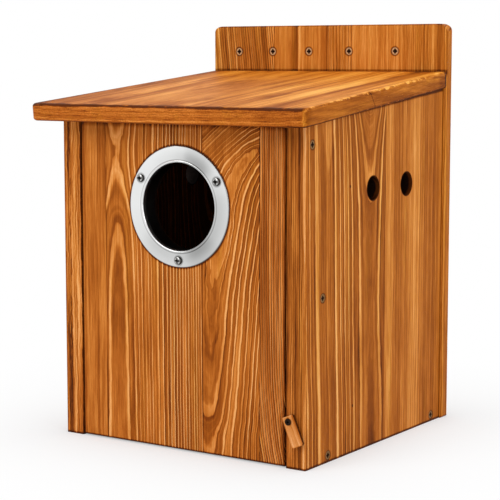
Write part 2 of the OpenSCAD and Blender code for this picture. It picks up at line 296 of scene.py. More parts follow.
def stave(g, s, u, v, w):
    """Tone of one glued stave at u across, v along and w into the board."""
    seed = s["seed"]
    wave = g.grain(u, v, w, 0.03, 0.011, seed)
    shake = g.grain(u, v, w, 0.16, 0.07, seed * 3.1)
    across = g.sub(u, g.curve(v, s["centre"]))
    deep = g.add(w, g.curve(v, s["depth"]))
    radius = g.length(across, deep)
    radius = g.sway(radius, wave, s.get("wave", 3.0))
    radius = g.sway(radius, shake, s.get("shake", 1.1))
    index = g.curve(radius, s["rings"])
    ring = g.math("FLOOR", index)
    tone = g.curve(g.sub(index, ring), RING)
    strength = g.madd(g.chance(ring, seed), 0.5, 0.65)
    tone = g.mul(g.mul(g.sub(tone, RING_MIDDLE), strength), s["contrast"])
    if "calm" in s:
        border, level = s["calm"]
        tone = g.mul(tone, g.step(g.sub(radius, g.curve(v, border)), -1.5, 1.5, level, 1.0))
    if "far" in s:
        near, far, level = s["far"]
        tone = g.mul(tone, g.step(radius, near, far, 1.0, level))
    for v_out, v_in, u_in, u_out, level in s.get("hush", ()):
        tone = g.mul(tone, g.mix(g.step(v, v_out, v_in), 1.0, g.step(u, u_in, u_out, level, 1.0)))
    tone = g.madd(g.chance(ring, seed + 31.7), 0.14, tone)
    # Fine lines that follow the rings, and a few long dark streaks
    thin = g.grain(radius, v, 0.0, s.get("line", 0.42), 0.005, seed * 2.3, 4.0, 0.6)
    amount = s.get("lines", 0.2)
    tone = g.add(tone, g.step(thin, 0.34, 0.66, -amount, amount))
    streak = g.grain(radius, v, 0.0, 0.3, 0.007, seed * 5.1, 3.0, 0.55)
    tone = g.sub(tone, g.step(streak, 0.57, 0.68, 0.0, s.get("streak", 0.22)))
    if "dash" in s:
        dash = g.noise(g.vector(g.mul(u, 0.055), g.mul(v, 0.05), g.mul(w, 0.8)), detail=3.0, rough=0.6)
        tone = g.sub(tone, g.step(dash, 0.52, 0.66, 0.0, s["dash"]))
    at = g.vector(g.mul(u, s.get("band", 0.07)), g.madd(v, 0.003, seed * 1.7), g.mul(w, 0.07))
    tone = g.sway(tone, g.noise(at, detail=3.0), s.get("bands", 0.4))
    if "profile" in s:
        return g.add(tone, g.sub(g.curve(u, s["profile"]), AGED))
    return g.add(tone, s["tone"] - AGED)


def figure(g, staves, u, v, w):
    """Tone of a board glued up from staves, and its seam lines."""
    tone = stave(g, staves[0], u, v, w)
    for s in staves[1:]:
        tone = g.mix(g.above(u, s["edge"]), tone, stave(g, s, u, v, w))
        tone = g.sub(tone, g.halo(u, s["edge"], 0.8, s.get("seam", 0.35)))
    return tone


def fir(name, staves, axes, patches=(), stain_and_shade=None, tint=(1.0, 1.0, 1.0)):
    """A stained fir board.

    The axes are functions that give its across, along and inward places. The patches are parts of it with
    other staves. The stain and shade function gives how much darker a place is, from stain and painted shade;
    below zero it makes a place paler, for wear and tone and, on the back board's strips, for painted light.
    """
    g = Graph(name)
    x, y, z = g.place()
    u, v, w = (f(g, x, y, z) for f in axes)
    tone = figure(g, staves, u, v, w)
    shift = (*tint, 1.0)
    for s in staves:
        if "hue" in s:
            shift = g.mix_colour(g.above(u, s["edge"]), shift, (*s["hue"], 1.0))
    for p in patches:
        other = figure(g, p["staves"], *(f(g, x, y, z) for f in p["axes"]))
        mask = p["mask"](g, x, y, z)
        tone = g.mix(mask, tone, other)
        if "tint" in p:
            shift = g.mix_colour(mask, shift, (*p["tint"], 1.0))
    # Fibres and slow cloudiness of the stain
    fibre = g.grain(u, v, w, 0.8, 0.03, detail=4.0, rough=0.65)
    fine = g.grain(u, v, w, 5.0, 0.16)
    cloud = g.grain(u, v, w, 0.03, 0.016, detail=3.0)
    tone = g.sway(g.sway(g.sway(tone, fibre, 0.7), fine, 0.25), cloud, 0.3)
    relief = g.madd(fine, 0.2, tone)
    # Stain and painted shade darken the tone here, and painted light makes it paler
    if stain_and_shade:
        tone = g.sub(tone, stain_and_shade(g, x, y, z))
    colour = g.ramp(tone, FIR)
    # Where stain and painted shade go deepest, the colour sinks to near black
    colour = g.mix_colour(g.step(tone, -1.3, -0.45, 0.92, 0.0), colour, CHAR_AND_SHADE)
    # The stain is redder in some streaks and yellower in others
    hue = g.grain(u, v, w, 0.1, 0.006, 7.3)
    colour = g.mix_colour(g.step(hue, 0.52, 0.72, 0.0, 0.8), colour, REDDER, "MULTIPLY")
    colour = g.mix_colour(g.step(hue, 0.46, 0.28, 0.0, 0.8), colour, YELLOWER, "MULTIPLY")
    colour = g.mix_colour(1.0, colour, shift, "MULTIPLY")
    g.shader(Base_Color=colour, Roughness=g.step(tone, 0.1, 0.9, *FIR_ROUGH), Specular_IOR_Level=FIR_SPECULAR)
    g.bump(relief, FIR_RELIEF, 0.55)
    return g.mat


def flat(value, low=-10.0, high=380.0):
    """Two points of a level curve."""
    return [(low, value), (high, value + 0.001)]


def lines(*radii, start, tail=None):
    """Ring lines at the given radii, then a tail of evenly spaced ones: their spacing and where they end."""
    pts = [(start, 0.0)] + [(r, i + 1.0) for i, r in enumerate(radii)]
    if tail:
        step, end = tail
        count = int((end - radii[-1]) / step)
        pts.append((radii[-1] + count * step, len(radii) + float(count)))
    return pts


def even(step, end, first=0.0):
    """Ring lines that are evenly spaced from the first radius to the end."""
    return [(first, 0.0), (end, (end - first) / step)]


# The staves of each board, in their order across it
DOOR = [
    dict(seed=1.3, centre=flat(-160), depth=flat(40), rings=even(7.5, 150), contrast=0.1, tone=0.52,
         bands=0.4, band=0.11, lines=0.19, streak=0.14),
    dict(edge=-78.0, seed=4.1,
         centre=[(-10, -65), (60, -65.5), (190, -65.8), (280, -66.5)],
         depth=[(-10, 18.6), (40, 19.4), (100, 19.8), (140, 20.1), (165, 20.9), (192, 22.4), (210, 24.6),
                (232, 26.4), (253, 27.15), (268, 26.5), (285, 25.2)],
         rings=lines(22.4, 27.4, 30.2, 33.4, 36.4, 39.2, 42.0, 48.3, 52.8, 56.9, start=17.3, tail=(2.6, 110)),
         contrast=0.6, far=(38.0, 56.0, 1.55), tone=0.52, bands=0.34, wave=1.3, shake=0.8, lines=0.17),
    dict(edge=23.8, seed=9.7,
         centre=[(-10, 30), (20, 29), (70, 30.5), (110, 33), (150, 36), (185, 41), (220, 50), (242, 61),
                 (257, 75), (280, 98)],
         depth=[(-10, 29), (20, 26.5), (40, 23.5), (70, 21.5), (110, 20), (150, 18.5), (185, 16.5),
                (220, 18), (250, 18), (265, 22), (280, 34)],
         rings=lines(19, 20.5, 24.5, 28.5, 32, 36.5, 41.5, 45, 48.5, 52, start=13.0, tail=(3.5, 90)),
         contrast=0.77, calm=([(-10, 21.3), (120, 21.3), (180, 19.3), (280, 19.3)], 0.35),
         hush=[(240, 254, 50, 68, 0.42), (118, 100, 56, 64, 0.84), (72, 54, 26, 38, 0.6)],
         tone=0.51, bands=0.4, wave=1.4, shake=1.6, lines=0.17),
    dict(edge=80.5, seed=14.2,
         centre=[(-10, 12), (0, 10), (40, 3.5), (90, 0), (280, -1)],
         depth=flat(14), rings=even(2.2, 140), contrast=-1.9, bands=0.22, band=0.2, wave=1.8, shake=0.8,
         lines=0.3, streak=0.2,
         profile=[(79, 0.4), (81.5, 0.42), (84.5, 0.49), (87.5, 0.38), (90.5, 0.36), (93.5, 0.41),
                  (96.5, 0.42), (99.5, 0.47), (102, 0.38), (105, 0.35)], hue=(1.02, 0.88, 0.85)),
]
SIDE = [
    dict(seed=21.5,
         centre=[(-10, -16), (40, -16.8), (80, -19), (130, -20.8), (200, -21.5), (310, -22)],
         depth=[(-10, 22.6), (40, 22.4), (80, 23.0), (140, 23.4), (185, 22.4), (205, 21.8), (222, 20.5),
                (234, 19.6), (247, 18.5), (267, 15.4), (280, 12.0), (287, 8.6), (296, 5.5), (310, 3.5)],
         rings=lines(21.3, 29.3, 37.3, 42.3, 47.9, 54.3, 61.7, 90.5, 99.6, 106.0, 122.0, start=14.0),
         contrast=0.68, calm=(flat(17.0), 0.2), far=(58.0, 82.0, 0.86), tone=0.46, bands=0.25, wave=1.2,
         shake=1.3, lines=0.16, streak=0.12),
    dict(edge=5.6, seed=27.9, centre=flat(-60), depth=flat(50), rings=even(9.0, 240), contrast=0.12,
         profile=[(-125, 0.5), (5, 0.62), (9, 0.74), (17, 0.7), (23, 0.5), (30, 0.44), (36, 0.5)], bands=0.25,
         lines=0.12, streak=0.1, seam=0.2),
    dict(edge=34.5, seed=33.3, centre=flat(-60), depth=flat(46), rings=even(8.0, 240), contrast=0.12,
         profile=[(30, 0.5), (40, 0.54), (50, 0.62), (60, 0.72), (70, 0.6), (78, 0.48), (86, 0.46),
                  (97, 0.38), (104, 0.44), (111, 0.42)], bands=0.22, lines=0.1, streak=0.08, seam=0.22),
]
LEFT_SIDE = [
    dict(seed=41.5,
         centre=[(-10, -70), (90, -72), (180, -66), (310, -70)],
         depth=[(-10, 34), (70, 26), (150, 22), (230, 26), (310, 36)],
         rings=lines(24.0, 29.0, 35.0, 39.0, 44.5, 52.0, 57.0, 61.0, start=16.0, tail=(4.6, 160)),
         contrast=0.52, tone=0.47, bands=0.35, wave=2.0),
    dict(edge=22.0, seed=47.9, centre=flat(75), depth=[(-10, 12), (120, 26), (220, 20), (310, 30)],
         rings=even(5.2, 160), contrast=0.45, tone=0.52, bands=0.5),
]
# The right strip is paler at the rounded corner: worn wood with a painted highlight
RIGHT_STRIP = [
    dict(seed=36.2, centre=flat(40), depth=flat(20), rings=even(1.9, 120), contrast=-0.4, bands=0.2, band=0.3,
         profile=[(105, 0.32), (107, 0.36), (113, 0.34), (118, 0.32), (120.4, 0.34), (121.8, 0.58),
                  (123.6, 0.62), (125.5, 0.36)], lines=0.3, streak=0.1),
]
LEFT_STRIP = [
    dict(seed=39.4, centre=flat(-60), depth=flat(20), rings=even(2.6, 120), contrast=0.4, bands=0.3, band=0.3,
         shake=3.2, lines=0.34, streak=0.4,
         profile=[(-126, 0.36), (-121, 0.34), (-119.4, 0.32), (-117.6, 0.6), (-115, 0.66), (-111, 0.63),
                  (-108.5, 0.56), (-106.4, 0.5), (-105, 0.4)]),
]
# The first stave is paler along the board's rounded left edge: a painted highlight
BACK = [
    dict(seed=52.0, centre=[(-10, -150), (250, -156), (320, -162), (370, -167)], depth=flat(16),
         rings=even(2.5, 200), contrast=-0.8, bands=0.25, wave=2.2, shake=1.2, lines=0.2, streak=0.3,
         profile=[(-129, 0.72), (-124, 0.76), (-121, 0.7), (-118, 0.5), (-90, 0.47), (-68, 0.46), (-62, 0.6),
                  (-56, 0.58)]),
    dict(edge=-57.0, seed=57.1, centre=flat(-118), depth=flat(30), rings=even(9.0, 200), contrast=0.12,
         bands=0.2, lines=0.1, streak=0.0,
         profile=[(-58, 0.62), (-50, 0.64), (-42, 0.64), (-38, 0.5), (-34, 0.26), (-30.4, 0.36),
                  (-28.4, 0.86), (-26, 0.62), (-10, 0.64), (3, 0.6)]),
    dict(edge=2.0, seed=61.4, centre=flat(-40), depth=flat(22), rings=even(2.9, 140), contrast=-0.6,
         bands=0.25, lines=0.2, streak=0.15, tone=0.55),
    dict(edge=29.0, seed=63.9, seam=0.0, centre=flat(-40), depth=flat(22), rings=even(11.0, 200),
         contrast=0.1, bands=0.2, lines=0.08, streak=0.0, tone=0.66),
    dict(edge=80.0, seed=66.6, centre=flat(40), depth=flat(18), rings=even(3.4, 160), contrast=-0.3,
         bands=0.2, lines=0.14, streak=0.1, seam=0.15,
         profile=[(78, 0.64), (90, 0.62), (104, 0.58), (112.6, 0.58), (114.4, 0.86), (116.2, 0.54),
                  (122, 0.4), (129, 0.4)]),
]
BACK_EDGE = [
    dict(seed=68.2, centre=flat(60), depth=flat(20), rings=even(4.0, 120), contrast=-0.25, bands=0.3,
         lines=0.14, streak=0.12, tone=0.55),
]
ROOF_BLUR = dict(contrast=0.1, bands=0.75, band=0.045, line=0.2, lines=0.13, shake=2.0)
ROOF = [
    dict(ROOF_BLUR, seed=71.0, centre=flat(-190, -290, 40), depth=flat(40, -290, 40), rings=even(9.0, 260),
         streak=0.1,
         profile=[(-145, 0.48), (-128, 0.52), (-112, 0.56), (-95, 0.64), (-78, 0.62), (-66, 0.55),
                  (-58, 0.64)]),
    dict(ROOF_BLUR, edge=-58.0, seed=76.4, centre=flat(-20, -290, 40), depth=flat(90, -290, 40),
         rings=even(10.0, 260), streak=0.1, seam=0.05,
         profile=[(-60, 0.6), (-40, 0.68), (-20, 0.7), (-2, 0.6), (6, 0.58), (16, 0.66), (40, 0.74)]),
    dict(ROOF_BLUR, edge=31.0, seed=81.9, centre=flat(-20, -290, 40), depth=flat(40, -290, 40),
         rings=even(9.0, 260), streak=0.12, seam=0.05,
         profile=[(28, 0.74), (50, 0.7), (62, 0.6), (74, 0.7), (90, 0.86), (98, 0.72), (106, 0.42),
                  (114, 0.42), (122, 0.74), (132, 0.8), (145, 0.66)]),
]
ROOF_END_GRAIN = [
    dict(seed=85.0, centre=flat(-40, -20, 40), depth=flat(5000, -20, 40), rings=even(2.3, 5040, first=4980),
         contrast=-0.26, bands=0.12, wave=3.6, shake=1.8, dash=0.3, line=0.6, lines=0.16, streak=0.12,
         profile=[(-145, 0.5), (-130, 0.56), (-60, 0.6), (-10, 0.64), (40, 0.62), (90, 0.58), (125, 0.54),
                  (145, 0.56)]),
]
ROOF_SIDE = [
    dict(seed=88.0, centre=flat(-50, -290, 40), depth=flat(12, -290, 40), rings=even(5.0, 130), contrast=0.12,
         tone=0.43, bands=0.5, lines=0.14, wave=5.0, streak=0.2),
]
PLAIN = [
    dict(seed=91.0, centre=flat(-30, -160, 160), depth=flat(24, -160, 160), rings=even(5.0, 260),
         contrast=0.4, tone=0.42, bands=0.5),
]
BUTTON = [
    dict(seed=97.0, centre=flat(-30, -60, 60), depth=flat(20, -60, 60), rings=even(4.0, 120), contrast=0.2,
         tone=0.72, bands=0.9, band=0.16, lines=0.16, streak=0.1),
]


def axis(i, scale=1.0, shift=0.0):
    """A function that gives one coordinate, scaled and shifted."""
    return lambda g, x, y, z: g.madd((x, y, z)[i], scale, shift)


def outward(g, x, y, z):
    """Depth into a side panel from its outer face."""
    return g.sub(BODY_X, g.abs(x))


def roof_along(g, x, y, z):
    """Place along the roof's slope, zero at the back board."""
    return g.add(g.mul(g.sub(y, Y_BOARD), math.cos(TILT)), g.mul(g.sub(z, REAR_H), math.sin(TILT)))


def roof_inward(g, x, y, z):
    """Depth below the roof's sloping top."""
    return g.mul(g.sub(g.madd(g.sub(y, Y_BOARD), SLOPE, ROOF_TOP), z), math.cos(TILT))


def roof_margin(g, x, y, z):
    """Distance from the roof's flared side edge."""
    return g.sub(g.madd(roof_along(g, x, y, z), -FLARE, ROOF_X), g.abs(x))


def button_across(g, x, y, z):
    """Place across the leaning turn button, from its screw."""
    dx, dz = g.sub(x, LATCH_X), g.sub(z, LATCH_Z)
    return g.add(g.mul(dx, math.cos(LATCH_LEAN)), g.mul(dz, math.sin(LATCH_LEAN)))


def button_along(g, x, y, z):
    """Place up along the leaning turn button, from its screw."""
    dx, dz = g.sub(x, LATCH_X), g.sub(z, LATCH_Z)
    return g.sub(g.mul(dz, math.cos(LATCH_LEAN)), g.mul(dx, math.sin(LATCH_LEAN)))


def reach(g, a, b, spot):
    """Distance of the point (a, b) from a spot."""
    return g.length(g.sub(a, spot[0]), g.sub(b, spot[1]))


def nearest(g, a, b, spots):
    """Distance of the point (a, b) from the nearest of the spots."""
    best = reach(g, a, b, spots[0])
    for spot in spots[1:]:
        best = g.least(best, reach(g, a, b, spot))
    return best


# The stain and shade functions: darker stain and painted shade where boards meet, at edges, round screws,
# under the roof and inside the box, and painted light on the back board's shaded strips


def side_strip(g, x, z):
    """1 on the strips where the back board stands out beside the body."""
    return g.mul(g.step(g.abs(x), BODY_X - 0.4, BODY_X + 0.2), g.step(z, 318.0, 314.0))


def near_front(g, x, y, z):
    """1 on a side panel's front edge."""
    return g.step(y, Y_FRONT + 0.3, Y_FRONT + 1.2, 1.0, 0.0)


def door_stain_and_shade(g, x, y, z):
    """The door: painted shade in the gaps at its edges, under the roof, at the bottom, round the ring, on its
    inner face and in the hole, with some dark stain at its edges.
    """
    hole = reach(g, x, z, HOLE)
    return g.total(
        g.step(g.abs(x), 103.2, 103.9, 0.0, 0.35),
        g.step(z, 272.0, 277.4, 0.0, 0.45),
        g.step(z, 1.3, 3.3, 1.15, 0.0),
        g.step(hole, 51.0, 53.2, 0.9, 0.0),
        g.step(y, -106.0, -104.4, 0.0, 0.35),
        g.mul(g.step(y, -112.0, -108.0), g.step(hole, 45.0, 40.5, 0.0, 1.6)),
    )


def side_stain_and_shade(g, x, y, z):
    """Both sides: painted shade on the inner face, at the bottom, below the roof and down in the vents, a
    faint dark line at the rear seam, and darker round the screws and pin knots.
    """
    deep = outward(g, x, y, z)
    face = g.step(deep, 1.0, 3.0, 1.0, 0.0)
    vent = nearest(g, y, z, VENTS)
    under = g.sub(g.madd(g.sub(y, Y_FRONT), SLOPE, FRONT_H), z)
    return g.total(
        g.step(deep, 18.4, 18.9, 0.0, 0.5),
        g.step(y, 110.4, 110.9, 0.0, 0.1),
        g.step(z, 0.5, 2.5, 1.0, 0.0),
        g.step(under, 0.8, 3.4, 0.85, 0.0),
        g.mul(g.step(vent, 10.7, 11.1, 1.0, 0.0), g.step(deep, 0.2, 7.0, 0.7, 2.2)),
        g.halo(vent, 10.6, 0.9, 0.2),
        g.mul(face, g.halo(nearest(g, y, z, SIDE_SCREWS), 3.9, 1.1, 0.28)),
        g.mul(face, g.step(nearest(g, y, z, PIN_KNOTS), 0.5, 1.7, 0.6, 0.0)),
    )


def left_stain_and_shade(g, x, y, z):
    """The left side's front edge also has two wavering dark lines."""
    near = near_front(g, x, y, z)
    waver = g.noise(g.vector(0.0, g.mul(z, 0.035), 5.5), detail=4.0, rough=0.6)
    width = g.noise(g.vector(0.0, g.mul(z, 0.05), 2.2), detail=3.0, rough=0.6)
    first = g.add(x, g.sway(118.2, waver, 5.0))
    second = g.add(x, g.sway(106.3, waver, -3.0))
    return g.total(
        side_stain_and_shade(g, x, y, z),
        g.mul(near, g.halo(first, 0.0, 1.1, g.step(width, 0.4, 0.6, 0.15, 0.7))),
        g.mul(near, g.halo(second, 0.0, 0.9, g.step(width, 0.6, 0.4, 0.1, 0.5))),
    )


def right_stain_and_shade(g, x, y, z):
    """The right side also has a paler wedge below the roof."""
    wedge = g.madd(g.sub(z, 232.0), -0.26, g.abs(g.add(y, 89.5)))
    pale = g.mul(g.step(wedge, -3.5, 0.5, -0.2, 0.0), g.step(z, 233.0, 246.0))
    return g.add(side_stain_and_shade(g, x, y, z), pale)


def back_stain_light_and_shade(g, x, y, z):
    """The back board: paler on the strips beside the body, as painted light where the body shades them, and
    darker at its edges and round the mounting screws, with painted shade just above the roof, at the bottom
    and inside the box.
    """
    face = g.step(y, Y_BOARD + 1.0, Y_BOARD + 3.0, 1.0, 0.0)
    aside = g.abs(x)
    return g.total(
        # Painted light on the strips that the body shades, strongest at their outer corner as a painted
        # highlight
        g.mul(g.mul(face, side_strip(g, x, z)), g.step(aside, BODY_X + 0.2, 127.4, -0.35, -0.62)),
        g.mul(face, g.mul(g.step(aside, 126.4, 127.8, 0.0, 0.25), g.step(z, 310.0, 320.0))),
        g.mul(g.step(aside, 107.0, 106.0), g.mul(face, g.step(z, REAR_H + 2.0, REAR_H - 1.0, 0.0, 0.4))),
        g.mul(face, g.step(z, 360.0, 361.6, 0.0, 0.35)),
        g.step(z, 0.8, 2.8, 0.35, 0.0),
        g.mul(face, g.step(z, ROOF_TOP + 0.6, ROOF_TOP + 2.6, 0.45, 0.0)),
        g.mul(face, g.halo(nearest(g, x, z, MOUNT_SPOTS), 4.0, 1.2, 0.45)),
    )


def roof_front_mask(g, x, y, z):
    """1 on the roof's front edge, which shows end grain."""
    return g.step(roof_along(g, x, y, z), -ROOF_LEN + 0.9, -ROOF_LEN + 2.0, 1.0, 0.0)


def roof_side_mask(g, x, y, z):
    """The side edge's darker face, with a chipped, irregular upper border."""
    ragged = g.noise(g.vector(g.mul(x, 0.3), g.mul(y, 0.22), g.mul(z, 0.6)), detail=4.0, rough=0.65)
    return g.step(g.sway(roof_margin(g, x, y, z), ragged, 5.0), 0.7, 1.6, 1.0, 0.0)


def roof_stain_and_shade(g, x, y, z):
    """Dark borders and blots, a slanting line on the right edge, pale rubbed and chipped spots, and painted
    shade along the lower edge and where the rear end meets the back board.
    """
    along = roof_along(g, x, y, z)
    deep = roof_inward(g, x, y, z)
    front = g.add(along, ROOF_LEN)
    margin = roof_margin(g, x, y, z)
    ragged = g.noise(g.vector(g.mul(x, 0.06), g.mul(y, 0.12), g.mul(z, 0.3)), detail=4.0, rough=0.6)
    blot = g.noise(g.vector(g.mul(x, 0.035), g.mul(y, 0.012), 4.4), detail=3.0, rough=0.6)
    right = g.step(x, 0.0, 10.0)
    slant = g.madd(deep, -0.6, g.add(along, 150.0))
    rub = g.mul(g.mul(g.step(margin, 2.0, 6.0, 1.0, 0.0), g.step(margin, -0.4, 1.2)), g.step(deep, 3.0, 1.5))
    side = g.sub(ROOF_EDGE, g.least(margin, front))
    low = g.sub(ROOF_EDGE, deep)
    arc = g.length(side, low)
    chip = g.mul(g.step(arc, 2.25, 1.5), g.mul(g.step(side, 0.2, 0.6), g.step(low, 0.2, 0.6)))
    return g.total(
        g.mul(g.step(g.sway(front, ragged, 26.0), 1.0, 8.0, 0.5, 0.0), g.step(deep, 2.6, 1.2)),
        g.mul(g.step(g.sway(deep, ragged, 7.0), 0.5, 2.4, 0.4, 0.0), g.step(front, 2.4, 1.4)),
        # Painted shade along the roof's lower edge, strongest over the sides
        g.mul(g.step(x, 120.0, 128.0, 0.55, 1.0), g.step(deep, 13.2, 14.8, 0.0, 0.75)),
        g.mul(g.step(front, 90.0, 20.0), g.step(deep, 2.0, 1.0, 0.0, 0.13)),
        # Painted shade where the roof's rear end meets the back board
        g.step(along, -3.0, -0.8, 0.0, 0.4),
        g.mul(g.mul(g.step(margin, 9.0, 2.0), g.step(deep, 3.0, 1.2)),
              g.mul(g.step(x, 0.0, -10.0), g.step(ragged, 0.35, 0.65, 0.1, 0.5))),
        g.mul(g.step(front, 1.4, 2.6), g.step(blot, 0.52, 0.68, 0.0, 0.25)),
        g.mul(g.mul(right, g.step(margin, 2.4, 1.4)), g.halo(slant, 0.0, 1.3, 0.3)),
        g.mul(g.mul(right, rub), g.step(ragged, 0.35, 0.6, -0.3, 0.05)),
        g.mul(chip, g.step(margin, 2.6, 3.2, -0.3, 0.25)),
    )


def floor_shade(g, x, y, z):
    """The floor board: painted shade inside the box and below."""
    return g.add(g.step(z, 9.0, 11.8, 0.0, 0.3), g.step(z, 0.8, 2.0, 0.2, 0.0))


def rail_shade(g, x, y, z):
    """The rail lies in the shade of the box."""
    return g.step(y, -103.0, -101.5, 0.3, 0.35)


def button_stain_and_shade(g, x, y, z):
    """The turn button: paler at its top, darker at its edges and round its screw, and painted shade on its
    sides next to the panel.
    """
    a, b = button_across(g, x, y, z), button_along(g, x, y, z)
    return g.total(
        g.step(g.abs(a), 3.9, 4.7, 0.0, 0.12),
        g.step(b, 3.4, 4.4, 0.0, -0.15),
        g.step(b, -20.2, -21.4, 0.0, 0.2),
        # Painted shade on the button's sides next to the panel
        g.step(y, -125.9, -125.2, 0.0, 1.25),
        g.step(reach(g, a, b, (0.0, 0.0)), 2.7, 3.5, 0.3, 0.0),
    )


def back_edge_mask(g, x, y, z):
    """The back board's side edges, and the strips of it that stand out beside the body."""
    return g.most(g.step(g.abs(x), 127.2, 127.9), side_strip(g, x, z))


# Front faces lie across x, up z and inward y, side faces across y and up z
FRONT = (axis(0), axis(2), axis(1, 1.0, -Y_FRONT))
UPRIGHT = (axis(1), axis(2), outward)
door_mat = fir("fir_door", DOOR, FRONT, stain_and_shade=door_stain_and_shade, tint=(1.03, 0.965, 1.02))
side_mat = fir(
    "fir_side", SIDE, UPRIGHT,
    [dict(mask=near_front, staves=RIGHT_STRIP, axes=FRONT, tint=(1.04, 1.04, 1.3))],
    right_stain_and_shade,
)
left_mat = fir(
    "fir_left", LEFT_SIDE, UPRIGHT,
    [dict(mask=near_front, staves=LEFT_STRIP, axes=FRONT, tint=(1.02, 0.95, 1.0))],
    left_stain_and_shade,
)
back_mat = fir(
    "fir_back", BACK, (axis(0), axis(2), axis(1, 1.0, -Y_BOARD)),
    [dict(mask=back_edge_mask, staves=BACK_EDGE, axes=(axis(1), axis(2), axis(0)))],
    back_stain_light_and_shade, tint=(1.05, 1.08, 1.06),
)
roof_mat = fir(
    "fir_roof", ROOF, (axis(0), roof_along, roof_inward),
    [
        dict(mask=roof_side_mask, staves=ROOF_SIDE, axes=(roof_inward, roof_along, axis(0))),
        dict(mask=roof_front_mask, staves=ROOF_END_GRAIN, axes=(axis(0), axis(2, 0.0), roof_inward),
             tint=(1.07, 0.95, 0.9)),
    ],
    roof_stain_and_shade, tint=(1.02, 1.02, 0.7),
)
floor_mat = fir("fir_floor", PLAIN, (axis(1), axis(0), axis(2)), stain_and_shade=floor_shade)
rail_mat = fir("fir_rail", PLAIN, (axis(2), axis(0), axis(1)), stain_and_shade=rail_shade)
button_mat = fir("fir_button", BUTTON, (button_across, button_along, axis(1)), stain_and_shade=button_stain_and_shade,
                 tint=(1.0, 0.97, 1.3))

# The first two are dark colours of tarnish and matt grime, which also carry the painted shade in screw
# recesses and on the ring
TARNISH_AND_SHADE = (0.012, 0.01, 0.008, 1.0)
SOIL_AND_SHADE = (0.014, 0.002, 0.001, 1.0)
BRONZE = (0.3, 0.145, 0.04, 1.0)
PALE_BRONZE = (0.52, 0.28, 0.13, 1.0)


def scaled(colour, factor):
    """A darker or paler shade of a colour."""
    return (*(min(1.0, c * factor) for c in colour[:3]), 1.0)


def metal(name, colour, rough, spots=0.0, metallic=1.0, specular=0.5, relief=0.00002, shade=None, soil_and_shade=None):
    """Metal with faint handling marks.

    The shade is a function that is 1 where the metal is darkened: by painted reflections and painted shade on
    the ring, by painted shade and grime round screw recesses. The soil colour, where given, is the matt dark
    of grime and painted shade there; it replaces the tarnish colour, and the metal stops shining there.
    """
    g = Graph(name)
    x, y, z = g.place()
    at = g.vector(x, y, z)
    haze = g.noise(at, 0.05, 3.0)
    grit = g.noise(at, 1.8, 3.0, 0.6)
    face = g.mix_colour(g.step(grit, 0.45, 0.75, 0.0, spots), colour, scaled(colour, 0.35))
    face = g.mix_colour(g.mul(haze, 0.12), face, scaled(colour, 1.4))
    # Painted shade and reflections, and grime, darken the face where the shade says
    if shade:
        dirt_and_shade = shade(g, x, y, z)
        face = g.mix_colour(dirt_and_shade, face, soil_and_shade or TARNISH_AND_SHADE)
    if soil_and_shade:
        metallic = g.step(dirt_and_shade, 0.2, 0.8, metallic, 0.0)
    g.shader(Base_Color=face, Metallic=metallic, Specular_IOR_Level=specular)
    g.shader(Roughness=g.sway(rough, haze, 0.12))
    g.bump(grit, relief, 0.5)
    return g.mat


def cross(g, a, b, spots, arm):
    """1 on a driver cross at any of the spots."""
    best = None
    for spot in spots:
        da, db = (g.abs(g.sub(at, place)) for at, place in zip((a, b), spot))
        on_line = g.step(g.least(da, db), 0.5, 1.0, 1.0, 0.0)
        one = g.mul(on_line, g.step(g.most(da, db), arm, arm + 0.6, 1.0, 0.0))
        best = one if best is None else g.most(best, one)
    return best


def buried(depth):
    """Painted shade and grime on everything below the head's top, on screws that lie in the wood. The depth
    is measured from the head's top.
    """
    def shade(g, x, y, z):
        deep = depth(g, x, y, z)
        return g.mul(g.step(deep, 0.1, 0.5), g.step(deep, CLEAN_DEPTH, CLEAN_DEPTH + 0.5, 1.0, 0.0))
    return shade


def recess(depth, a, spots, rim):
    """Painted shade and grime in and round the driver recess of heads at the spots, which are places along
    axis a and z.
    """
    def shade(g, x, y, z):
        deep = depth(g, x, y, z)
        at = (x, y, z)[a]
        d = nearest(g, at, z, spots)
        dark = g.most(g.step(d, 1.7, 2.3, 0.8, 0.0), g.step(d, 3.0, 3.5, 0.0, rim))
        dark = g.most(dark, g.mul(cross(g, at, z, spots, 2.1), 0.97))
        dark = g.most(dark, g.step(deep, 0.3, 1.2))
        return g.mul(dark, g.step(deep, CLEAN_DEPTH, CLEAN_DEPTH + 0.5, 1.0, 0.0))
    return shade


def pan_recess(g, x, y, z):
    """Painted shade and grime in the driver recess and at the rim of the ring's three screws."""
    d = nearest(g, x, z, RING_SCREWS)
    low = g.step(y, -126.2, -125.9)
    dark = g.most(g.mul(low, g.step(d, 2.1, 2.5, 1.0, 0.0)), g.step(d, 2.5, 3.2, 0.0, 0.92))
    return g.most(dark, g.mul(cross(g, x, z, RING_SCREWS, 2.2), 0.97))


# Painted reflection: greys that the ring seems to mirror, at the angle round the hole in degrees from the
# right
RING_GREYS = [
    (-180, 0.0), (-150, 0.07), (-120, 0.22), (-88, 0.22), (-60, 0.46), (-30, 0.29),
    (10, 0.23), (30, 0.17), (58, 0.44), (85, 0.2), (120, 0.07), (180, 0.0),
]


